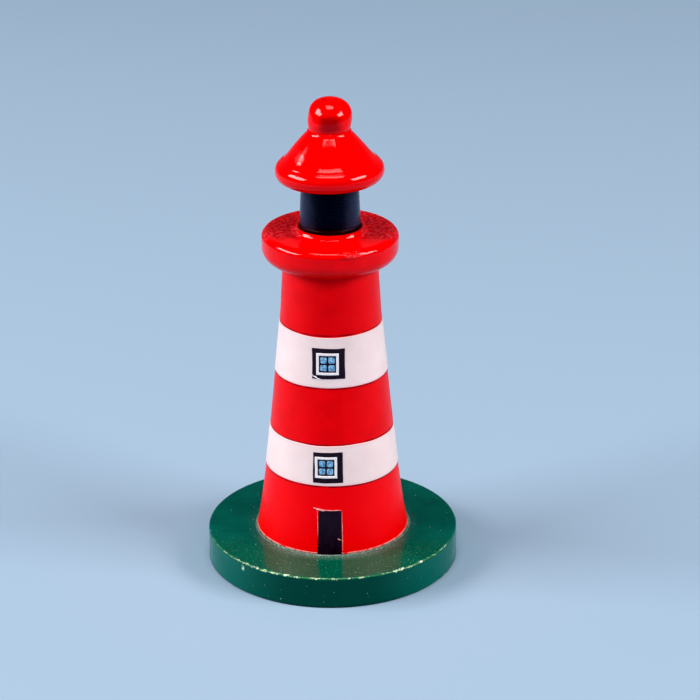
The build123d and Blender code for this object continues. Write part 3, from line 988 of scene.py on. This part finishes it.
def build_figure():
    """All pieces of the lighthouse, each on the part it stands for."""
    white = white_paint()
    frame_white = white_mark_paint()
    black = black_mark_paint()
    blue = blue_mark_paint()
    gallery_red = red_gloss("red_gloss_gallery", "pitted")
    roof_red = red_gloss("red_gloss_roof", "dulled")
    knob_red = red_gloss("red_gloss_knob", "torn")
    add_piece("base_disc", base_shape(), "green_enamel", green_enamel(), "base_disc")
    add_piece("tower_body", tower_shape(), "red_satin_enamel", red_satin_enamel(), "tower_body")
    add_piece("glue_bead", glue_shape(), "dried_glue", dried_glue(), "glue_bead")
    add_piece("gallery_disc", gallery_shape(), "red_gloss_enamel", gallery_red, "gallery_disc")
    add_piece("lantern_drum", lantern_shape(), "black_satin_paint", black_satin_paint(), "lantern_drum")
    add_piece("roof_cone", roof_shape(), "red_gloss_enamel", roof_red, "roof_cone")
    add_piece("roof_knob", knob_shape(), "red_gloss_enamel", knob_red, "roof_knob")
    for which, seed in (("lower", 201), ("upper", 231)):
        node = f"white_band_{which}"
        margin = 0.12
        band = painted_band(low(node).z + margin, high(node).z - margin, 0.08, seed)
        add_piece(node, band, "white_paint", white, node)
        paint_window(which, black, frame_white, blue, seed + 2)
    paint_door(black, pink_edge_paint())
    chip_window_corner(frame_white)
    for node, finish in (("spine_dowel", bare_beech()), ("base_screw", zinc_steel())):
        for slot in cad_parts[node].material_slots:
            slot.material = finish


# ---------------------------------------------------------------- floor, lights and camera

FIGURE_MIDDLE = Vector((0, 0, 0.055))
SOFTBOX_DISTANCE = 1.60
CAMERA_PLACE = (0.01443, -0.50499, 0.25684)
CAMERA_LENS = 123.43


def lay_floor():
    """Wide pale blue-grey floor."""
    finish = bpy.data.materials.new("pale_floor")
    finish.use_nodes = True
    shader = finish.node_tree.nodes["Principled BSDF"]
    shader.inputs["Base Color"].default_value = (0.33, 0.46, 0.58, 1)
    shader.inputs["Roughness"].default_value = 0.75
    shader.inputs["Specular IOR Level"].default_value = 0.2
    mesh = bpy.data.meshes.new("floor")
    reach = 15.0
    corners = [(-reach, -reach, 0), (reach, -reach, 0), (reach, reach, 0), (-reach, reach, 0)]
    mesh.from_pydata(corners, [], [(0, 1, 2, 3)])
    mesh.materials.append(finish)
    floor = bpy.data.objects.new("floor", mesh)
    bpy.context.scene.collection.objects.link(floor)


def softbox(name, azimuth, elevation, width, height, radiance, colour):
    """Flat light facing the figure. Azimuth is in degrees from the door side towards +X."""
    light = bpy.data.lights.new(name, "AREA")
    light.shape = "RECTANGLE"
    light.size = width
    light.size_y = height
    light.energy = radiance * math.pi * width * height
    light.color = colour
    lamp = bpy.data.objects.new(name, light)
    bpy.context.scene.collection.objects.link(lamp)
    turn, lift = math.radians(azimuth), math.radians(elevation)
    level = math.cos(lift)
    away = Vector((math.sin(turn) * level, -math.cos(turn) * level, math.sin(lift)))
    lamp.location = FIGURE_MIDDLE + away * SOFTBOX_DISTANCE
    lamp.rotation_euler = away.to_track_quat("Z", "Y").to_euler()


def light_studio():
    """A wide softbox on each side, a dimmer one overhead, and faint pale light all round."""
    softbox("softbox_left", -79, 31, 1.16, 0.52, 12.0, (1.0, 0.93, 0.93))
    softbox("softbox_right", 70, 31, 0.90, 0.52, 11.8, (1.0, 0.93, 0.93))
    softbox("softbox_top", 0, 80, 0.98, 0.62, 5.0, (1.0, 0.93, 0.92))
    world = bpy.data.worlds.new("pale_room")
    world.use_nodes = True
    sky = world.node_tree.nodes["Background"]
    sky.inputs["Color"].default_value = (0.86, 0.90, 1.0, 1)
    sky.inputs["Strength"].default_value = 0.16
    bpy.context.scene.world = world


def place_camera():
    """Camera in front, above and a little to the right, turned by pitch, yaw and roll in radians."""
    pitch, yaw, roll = 0.3875, -0.0201, -0.0055
    level = Vector((math.cos(yaw), -math.sin(yaw), 0))
    ahead = Vector((math.sin(yaw), math.cos(yaw), 0)) * math.cos(pitch)
    ahead.z = -math.sin(pitch)
    upright = level.cross(ahead)
    right = math.cos(roll) * level + math.sin(roll) * upright
    up = math.cos(roll) * upright - math.sin(roll) * level
    camera = bpy.data.objects.new("camera", bpy.data.cameras.new("camera"))
    camera.data.lens = CAMERA_LENS
    camera.data.sensor_width = 36.0
    turned_to = Matrix((right, up, -ahead)).transposed().to_4x4()
    camera.matrix_world = Matrix.Translation(CAMERA_PLACE) @ turned_to
    bpy.context.scene.collection.objects.link(camera)
    bpy.context.scene.camera = camera


build_figure()
lay_floor()
light_studio()
place_camera()
view = bpy.context.scene.view_settings
view.view_transform = "Standard"
view.look = "Medium High Contrast"
view.use_curve_mapping = True
view.curve_mapping.black_level = (0.012, 0.012, 0.012)
